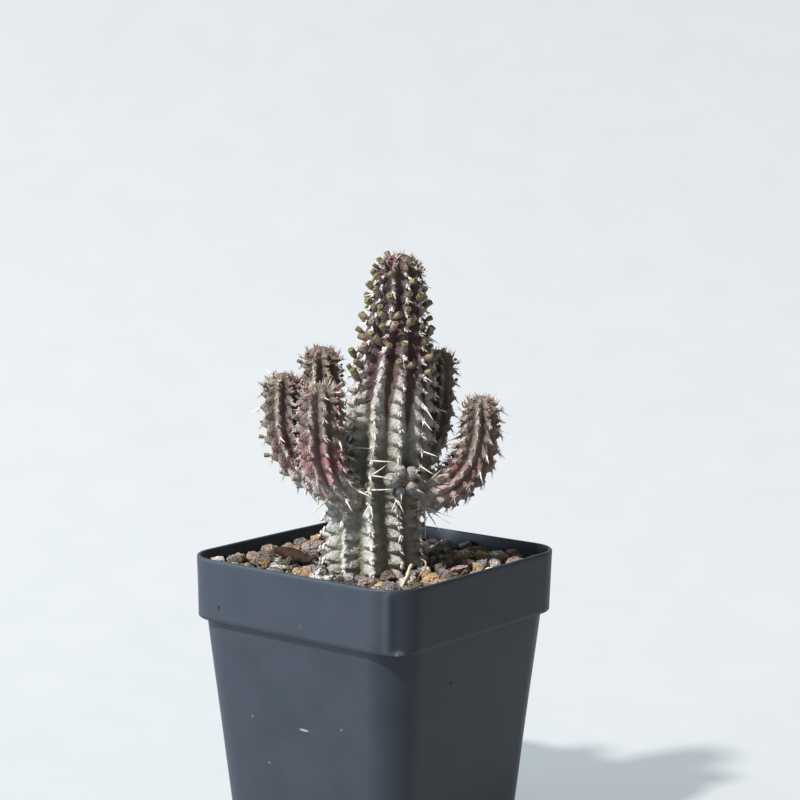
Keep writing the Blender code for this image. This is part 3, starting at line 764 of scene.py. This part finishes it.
def build_offset(look):
    """Five knobs in a star round a brown crusty heart, each with pale spines."""
    rng = random.Random(5)
    low, high = node_box("front_offset")
    centre = (low + high) / 2 @ TO_WORLD + (0.0, -0.6, 0.0)
    side, up, out = basis((0.42, -0.9, 0.12)).T
    batch, crust, spines = Batch(), Batch(), Batch()
    ball, faces = BALLS[4]
    tint = np.stack([0.62 + 0.2 * ball[:, 2], np.full(len(ball), 0.42), np.full(len(ball), 0.05)], 1)
    for bearing, far, size in KNOBS:
        a = math.radians(bearing)
        radial = math.cos(a) * side + math.sin(a) * up
        shift = rng.uniform(0, 50)
        lumps = 1 + 0.13 * np.array([noise.noise(Vector(v) * 1.6 + Vector((shift, 0, 0))) for v in ball])
        flat = np.stack([radial, np.cross(out, radial), out], 1)
        local = ball * lumps[:, None] * (size * 1.12, size * 0.92, size * 0.95)
        depth = -1.1 if far else -2.2
        batch.add(centre + radial * far + out * depth + local @ flat.T, faces, tint)
        if far:
            tip = centre + radial * (far + size * 0.55) + out * (depth + size * 0.78)
            pad_up = np.cross(radial, side) + up * 0.01 + radial
            add_areole(crust, tip, (radial * 0.6 + out) / 1.17, pad_up, 0.7, rng)
            for _ in range(3):
                way = radial * rng.uniform(0.6, 1.2) + out * rng.uniform(0.3, 0.9)
                way = way + rng.uniform(-0.4, 0.4) * up
                length = rng.uniform(1.4, 3.0)
                add_spine(spines, tip, way, length, 0.16, (0.6, 0.55, 0.45), (0.5, 0.42, 0.32), rng)
    ball, faces = BALLS[2]
    for _ in range(9):
        a, far = rng.uniform(0, math.tau), rng.uniform(0, 1.1)
        spot = centre + (math.cos(a) * side + math.sin(a) * up) * far - out * 0.3
        brown = np.array([0.16, 0.09, 0.05]) * rng.uniform(0.6, 1.3)
        crust.add(spot + ball * (0.45, 0.45, 0.35), faces, brown)
    batch.build("offset_knobs", look, "waxy_stem", ["front_offset"])
    crust.build("offset_crust", tinted_look("offset_crust", 3000, 0.5, 0.9, 0.0003), "waxy_stem")
    spines.build("offset_spines", tinted_look("offset_straw", 2600, 0.25, 0.6, 0.0001), "dry_spine")


# ---- pot


def rounded_ring(half, radius, z, bow=0.0, per_corner=26, per_side=14):
    """A rounded square with optional outward bow of its sides, anticlockwise."""
    ring = []
    flat = half - radius
    for corner in range(4):
        start = corner * math.pi / 2
        cx = flat * math.cos(start) - flat * math.sin(start)
        cy = flat * math.sin(start) + flat * math.cos(start)
        for step in range(per_corner + 1):
            a = start + math.pi / 2 * step / per_corner
            ring.append((cx + radius * math.cos(a), cy + radius * math.sin(a), z))
        out = start + math.pi / 2
        for step in range(1, per_side):
            t = step / per_side
            along = flat * (1 - 2 * t)
            push = half + bow * (1 - (2 * t - 1) ** 2)
            ring.append((math.cos(out) * push + math.sin(out) * along,
                         math.sin(out) * push - math.cos(out) * along, z))
    return np.array(ring)


def pot_rings(rim, top, band):
    """Rings from the edge of the underside, up the outside, over the lip and down the inside."""
    corner, wall, floor, lip = 9.9, 1.0, 1.2, 0.5
    foot, neck, edge = 29.9, rim - 1.9, 0.9

    def body(z):
        return foot + (neck - foot) * z / band

    rings = [rounded_ring(foot - 1.4, corner - 1.4, 0), rounded_ring(foot - 0.5, corner - 0.5, 0.2),
             rounded_ring(body(edge), corner, edge)]
    steps = 12
    for k in range(1, steps + 1):
        z = edge + (band - edge) * k / steps
        bow = 0.35 * math.sin(math.pi * k / steps)
        rings.append(rounded_ring(body(z), corner + 0.4 * k / steps, z, bow))
    rings += [rounded_ring(rim - 1.2, corner, band - 0.05), rounded_ring(rim - 0.55, corner, band + 0.05),
              rounded_ring(rim - 0.35, corner, band + 0.35)]
    steps = 20
    for k in range(1, steps + 1):
        z = band + 0.35 + (top - 0.7 - band - 0.35) * k / steps
        rings.append(rounded_ring(rim - 0.35 * (1 - k / steps), corner, z, 0.12 * k / steps))
    for a in np.linspace(0, math.pi, 7)[1:]:
        inset = lip * (1 - math.cos(a))
        rings.append(rounded_ring(rim - inset, corner - inset, top - lip + lip * math.sin(a), 0.12))
    steps = 6
    for k in range(1, steps + 1):
        z = top - 0.7 - (top - 0.7 - band - 1.2) * k / steps
        rings.append(rounded_ring(rim - wall - 0.3 * k / steps, corner - wall, z))
    return rings + [rounded_ring(body(z) - wall, corner - wall, z) for z in (band, 30, floor)]


def build_pot():
    top, rim = POT_HIGH.z, POT_HIGH.x
    band = top - 17.0
    rings = pot_rings(rim, top, band)
    verts = np.concatenate(rings)
    outer = np.hypot(verts[:, 0], verts[:, 1])
    wave = jitter(verts, 0.035, 3) * 0.22
    verts[:, :2] += verts[:, :2] / np.maximum(outer, 1)[:, None] * wave[:, None]
    # a shallow flaw on the front corner, just above the lower edge of the band
    flaw = np.array([rim - 2.9, -(rim - 2.9), band + 0.5])
    turn = np.array([[0.707, 0.707, 0], [0.707, -0.707, 0], [0, 0, 1]])
    near = np.exp(-np.sum(((verts - flaw) @ turn.T / (2.3, 1.7, 0.95)) ** 2, axis=1))
    verts += near[:, None] * (0.20, -0.20, -0.35)
    # a moulding seam up the band, beside that corner
    seam = np.array([rim - 4.7, -(rim - 1.5)])
    on_band = smooth(band - 0.1, band + 0.4, verts[:, 2]) * smooth(top - 0.6, top - 1.6, verts[:, 2])
    ridge = np.exp(-(np.linalg.norm(verts[:, :2] - seam, axis=1) / 1.25) ** 2) * on_band
    verts[:, :2] += ridge[:, None] * np.array([0.42, -0.52])
    batch = Batch()
    batch.add(verts, ring_faces(len(rings), len(rings[0])), np.repeat(1 - 0.9 * near[:, None], 3, axis=1))
    pot = batch.build("pot_shell", plastic_look(), "black_plastic", ["pot"], plant=False)
    pot.data.set_sharp_from_angle(angle=math.radians(40))


# ---- gravel


# Families of stone: how common among the small ones, and colour
STONES = {
    "ochre": (2, (0.50, 0.35, 0.20)), "brown": (7, (0.20, 0.155, 0.125)), "white": (3, (0.66, 0.62, 0.57)),
    "pink": (4, (0.40, 0.285, 0.24)), "bluegrey": (5, (0.25, 0.245, 0.255)),
    "dark": (3, (0.10, 0.095, 0.06)),
}
# Small stones, coarse ones first: smallest and largest width, tries, overlap, fineness and depth they sink
STONE_SIZES = [(3.6, 5.4, 900, 0.86, 3, 0.0), (1.9, 3.1, 3000, 0.80, 3, 0.1), (1.0, 1.9, 9000, 0.72, 2, 0.2)]
SHARD_RUN = (12.4, -13.0)  # the shard's run over the gravel, along the plant's X and Y


def stone(rng, size, level):
    """Crushed rock: a ball cut by random planes, then pitted."""
    ball, faces = BALLS[level]
    planes = [np.array([rng.gauss(0, 1) for _ in range(3)]) for _ in range(9)]
    reach = np.full(len(ball), 1.0)
    for plane in planes:
        facing = ball @ unit(plane)
        cut = np.where(facing > 0.05, rng.uniform(0.46, 0.88) / np.maximum(facing, 0.05), 9.0)
        reach = np.minimum(reach, cut)
    shift = Vector((rng.uniform(0, 99), rng.uniform(0, 99), rng.uniform(0, 99)))

    def pitted(v):
        return 0.13 * noise.noise(Vector(v) * 2.6 + shift) - 0.13 * abs(noise.noise(Vector(v) * 6 + shift))

    reach = reach + np.array([pitted(v) for v in ball])
    heading = np.array(Matrix.Rotation(rng.uniform(0, math.tau), 3, "Z"))
    turn = heading @ np.array(Matrix.Rotation(rng.uniform(-0.35, 0.35), 3, "X"))
    return (ball * reach[:, None] * np.array(size) / 1.7) @ turn.T, faces


def inside_pot(x, y, margin):
    """World millimetres, clear of the walls and of the main stem."""
    half = POT_HIGH.x - 1.3 - margin
    corner = 8.6
    dx, dy = max(abs(x) - (half - corner), 0), max(abs(y) - (half - corner), 0)
    stem = STEMS["main_stem"].p[0] @ TO_WORLD.T
    return math.hypot(dx, dy) < corner and math.hypot(x - stem[0], y - stem[1]) > 12.4 + margin


def build_gravel():
    """The CAD's larger stones in their places, then small ones of a few sizes scattered between them."""
    rng = random.Random(23)
    piles = {color: Batch() for color in STONES}
    nodes = {color: [] for color in STONES}
    slots = {entry["node"]: entry["material_slot"] for entry in frame["record"]["subparts"]}
    placed = []  # x, y and half the width of what the next stones keep clear of
    for node in node_names("stone_"):
        color = slots[node].removeprefix("stone_")
        nodes[color].append(node)
        low, high = node_box(node)
        centre, size = (low + high) / 2, high - low
        verts, faces = stone(rng, size * 1.06, 4)
        piles[color].add(verts + centre, faces, np.full(3, rng.uniform(0.85, 1.15)))
        placed.append((centre[0], centre[1], max(size[:2]) / 2))
    low, high = node_box("bark_chip")
    for share in (-0.5, -0.25, 0.0, 0.25, 0.5):
        spot = (low + high) / 2 + TO_WORLD @ np.array([*SHARD_RUN, 0.0]) * share * 0.8
        placed.append((spot[0], spot[1], 1.9))
    mixed = [color for color, (weight, _) in STONES.items() for _ in range(weight)]
    for narrow, broad, tries, overlap, level, sink in STONE_SIZES:
        for _ in range(tries):
            x, y = rng.uniform(-36, 36), rng.uniform(-36, 36)
            width = rng.uniform(narrow, broad)
            if not inside_pot(x, y, width * 0.42):
                continue
            if any(math.hypot(x - px, y - py) < (width / 2 + pr) * overlap for px, py, pr in placed):
                continue
            placed.append((x, y, width / 2))
            tall = width * rng.uniform(0.55, 0.85)
            heap = 0.9 * smooth(14, 36, max(-x, y))
            z = SOIL_TOP + heap + tall * 0.34 - sink + rng.uniform(-0.2, 0.5)
            verts, faces = stone(rng, (width, width * rng.uniform(0.7, 1.0), tall), level)
            shade, warm = rng.uniform(0.75, 1.2), rng.uniform(0.92, 1.08)
            piles[rng.choice(mixed)].add(verts + (x, y, z), faces, (shade * warm, shade, shade / warm))
    for color, pile in piles.items():
        slot = "stone_" + color
        look = stone_look(slot, STONES[color][1])
        heap = pile.build("gravel_" + color, look, slot, nodes[color], plant=False)
        heap.data.set_sharp_from_angle(angle=math.radians(32))


# ---- litter on the gravel


def build_shard():
    """A dark curled shard of bark: a thin arched sheet, wide in its middle."""
    low, high = node_box("bark_chip")
    centre = (low + high) / 2 @ TO_WORLD + (0.0, 0.0, 0.9)
    along = unit(np.array([*SHARD_RUN, -0.6]))
    out = unit(np.array([-0.25, -0.75, 0.6]))
    across = np.cross(out, along)
    length, half_width, half_thick, rows, cols = 15.6, 1.9, 0.24, 34, 9
    verts, faces, colors = [], [], []
    for i in range(rows):
        u = i / (rows - 1)
        x = (u - 0.5) * length
        wide = half_width * math.sin(math.pi * (0.04 + 0.94 * u)) ** 0.4
        wide *= 1 + 0.2 * noise.noise(Vector((u * 9, 0, 2)))
        for side in (1, -1):
            for j in range(cols):
                v = j / (cols - 1) * 2 - 1
                lift = 0.5 * (1 - v * v) + 0.5 * math.sin(u * 5) - 0.4
                lift += 0.28 * noise.noise(Vector((x * 0.7, v * 3, 5)))
                thick = half_thick * side * math.sqrt(max(1 - v ** 4, 0.06))
                verts.append(centre + along * x + across * v * wide + out * (lift + thick))
                glow = 0.7 + 0.5 * noise.noise(Vector((x * 0.5, v, 1.0)))
                colors.append((0.032 * glow, 0.014 * glow, 0.008 * glow))

    def at(i, side, j):
        return (i * 2 + side) * cols + j

    for i in range(rows - 1):
        for j in range(cols - 1):
            faces.append((at(i, 0, j), at(i, 0, j + 1), at(i + 1, 0, j + 1), at(i + 1, 0, j)))
            faces.append((at(i, 1, j + 1), at(i, 1, j), at(i + 1, 1, j), at(i + 1, 1, j + 1)))
        for j in (0, cols - 1):
            faces.append((at(i, 0, j), at(i + 1, 0, j), at(i + 1, 1, j), at(i, 1, j)))
    for i in (0, rows - 1):
        faces.append([at(i, 0, j) for j in range(cols)] + [at(i, 1, j) for j in range(cols - 1, -1, -1)])
    batch = Batch()
    batch.add(verts, faces, colors)
    look = tinted_look("bark_grain", 700, 0.5, 0.7, 0.0003, specular=0.12)
    mesh = batch.build("bark_shard", look, "bark", ["bark_chip"]).data
    bm = bmesh.new()
    bm.from_mesh(mesh)
    bmesh.ops.recalc_face_normals(bm, faces=bm.faces)
    bm.to_mesh(mesh)
    bm.free()


def add_tube(batch, points, radii, color):
    """A closed tapering tube along a smooth curve, slightly knotty."""
    count, sides = 40, 10
    path, run = smooth_path(points)
    s = np.linspace(0, run[-1], count)
    line = along_path(path, run, s)
    way = np.gradient(line, axis=0)
    radius = between(radii, s / run[-1])
    verts = []
    for i in range(count):
        turn = basis(way[i])
        for k in range(sides):
            a = math.tau * k / sides
            knot = noise.noise(Vector((s[i] * 1.2, math.cos(a) * 1.5, math.sin(a) * 1.5)))
            r = radius[i] * (1 + 0.16 * knot)
            verts.append(line[i] + turn @ np.array([r * math.cos(a), r * math.sin(a), 0]))
    batch.add(verts, ring_faces(count, sides), color)


def build_twigs():
    """The dry twig in front of the stem, and a thin curl of stalk beside it."""
    batch = Batch()
    foot = np.array([9.6, -16.8, 79.6])
    steps = [(0, 0, 0), (-0.5, -2.6, -0.4), (-1.1, -5.4, -1.7), (-1.9, -8.2, -2.7), (-2.6, -11.2, -3.6)]
    knots = [(0, 0.5), (0.12, 0.5), (0.3, 0.42), (0.42, 0.62), (0.5, 0.42), (0.9, 0.35), (1, 0.15)]
    add_tube(batch, [foot + step for step in steps], knots, (0.56, 0.47, 0.33))
    curl = [(12.2, -11.5, 80.2), (13.4, -13.6, 79.8), (13.2, -15.4, 78.2), (11.6, -16.6, 76.6)]
    add_tube(batch, curl, [(0, 0.15), (0.5, 0.3), (1, 0.2)], (0.33, 0.21, 0.11))
    look = tinted_look("twig_straw", 1200, 0.35, 0.75, 0.0002, (0.7, 0.62, 0.48))
    batch.build("dry_twigs", look, "dry_twig", ["dry_twig"])


# ---- stage, light, camera


# The floor from front to back: distance behind the pot and height, in mm
SWEEP = [(-900, 0), (60, 0), (110, 1.5), (160, 7), (230, 22), (320, 52), (430, 105), (560, 190), (700, 320),
         (820, 520), (880, 760), (900, 1400)]
SWEEP_LEFT, SWEEP_RIGHT = -1600, 480
# Light and camera, in metres and degrees, with the lens and its sensor in mm
AIM = Vector((0, 0, 0.100))  # what the side light faces
SUN_BEARING, SUN_RISE = 216, 52  # bearings are from the plant's +X
SIDE_BEARING, SIDE_DISTANCE, SIDE_HEIGHT = 188, 1.0, 0.20
CAMERA_PLACE = (0.33965, -0.42761, 0.19372)
CAMERA_TURN = (82.482, -0.373, 37.849)
CAMERA_LENS, CAMERA_SENSOR = 91.4, 36


def build_stage():
    """A pale floor that sweeps up into a backdrop behind the pot."""
    verts = np.array([(x, y, z) for y, z in SWEEP for x in (SWEEP_LEFT, SWEEP_RIGHT)], float)
    faces = [(2 * k, 2 * k + 1, 2 * k + 3, 2 * k + 2) for k in range(len(SWEEP) - 1)]
    mesh = bpy.data.meshes.new("floor_sweep")
    mesh.from_pydata((verts @ TO_WORLD.T * MM).tolist(), [], faces)
    mesh.shade_smooth()
    n = Nodes("floor_paper")
    paper = n.mix(n.ramp(n.noise(40, 4, 0.5), 0.3, 0.7), (0.178, 0.175, 0.182), (0.188, 0.184, 0.192))
    # the paper glows with painted light, a little brighter to the front and left
    away = n.add("VectorMath")
    away.operation = "DOT_PRODUCT"
    away.inputs[1].default_value = TO_WORLD @ np.array([0.3, 0.35, 1.0])
    n.link(n.here, away.inputs[0])
    n.link(n.ramp(away.outputs["Value"], -0.15, 0.60, 0.465, 0.385), n.shader.inputs["Emission Strength"])
    mesh.materials.append(n.done(paper, 0.9, Emission_Color=(0.84, 0.96, 1.0, 1.0)))
    add_object("floor_sweep", mesh)


def add_light(name, kind, color, energy):
    data = bpy.data.lights.new(name, kind)
    data.color, data.energy = color, energy
    return add_object(name, data)


def build_light():
    """A warm sun from the front left, a cool wide light from the left and a dim even sky."""
    world = bpy.data.worlds.new("studio")
    world.use_nodes = True
    world.node_tree.nodes["Background"].inputs["Color"].default_value = (0.92, 0.95, 1.0, 1.0)
    world.node_tree.nodes["Background"].inputs["Strength"].default_value = 0.25
    bpy.context.scene.world = world
    sun = add_light("key", "SUN", (1.0, 0.975, 0.94), 6.6)
    sun.data.angle = math.radians(4)
    a, rise = math.radians(SUN_BEARING) + PLANT_TURN, math.radians(SUN_RISE)
    source = Vector((math.cos(a) * math.cos(rise), math.sin(a) * math.cos(rise), math.sin(rise)))
    sun.rotation_euler = source.to_track_quat("Z", "Y").to_euler()
    side = add_light("side", "AREA", (0.70, 0.85, 1.0), 13.0)
    side.data.shape, side.data.size = "DISK", 0.9
    a = math.radians(SIDE_BEARING) + PLANT_TURN
    side.location = (math.cos(a) * SIDE_DISTANCE, math.sin(a) * SIDE_DISTANCE, SIDE_HEIGHT)
    side.rotation_euler = (AIM - side.location).to_track_quat("-Z", "Y").to_euler()
    bpy.context.scene.view_settings.view_transform = "Standard"


def build_camera():
    data = bpy.data.cameras.new("camera")
    data.sensor_width, data.lens, data.clip_start = CAMERA_SENSOR, CAMERA_LENS, 0.01
    camera = add_object("camera", data)
    camera.location = CAMERA_PLACE
    camera.rotation_euler = tuple(math.radians(a) for a in CAMERA_TURN)
    bpy.context.scene.camera = camera


def build_plant():
    grey = stem_look("main_skin", wax=(0.36, 0.346, 0.32), furrow=(0.135, 0.142, 0.10),
                     purple=(0.088, 0.05, 0.055), blush=(0.16, 0.035, 0.07), moss=(0.09, 0.068, 0.05),
                     mauve=(0.15, 0.08, 0.095))
    arm = stem_look("arm_skin", wax=(0.37, 0.345, 0.315), furrow=(0.14, 0.13, 0.085),
                    purple=(0.15, 0.108, 0.088), blush=(0.27, 0.085, 0.115), moss=(0.195, 0.182, 0.128),
                    mauve=(0.19, 0.13, 0.13))
    for seed, (name, stem) in enumerate(STEMS.items(), 1):
        look, slot = (grey, "waxy_stem") if name == "main_stem" else (arm, "purple_stem")
        build_stem(name, stem, look, slot, seed)
    build_small_parts()
    build_offset(grey)


def main():
    build_camera()
    build_stage()
    build_light()
    build_pot()
    soil = bpy.data.objects["soil"]
    for slot in soil.material_slots:
        slot.material = soil_look()
    build_plant()
    build_gravel()
    build_shard()
    build_twigs()


main()
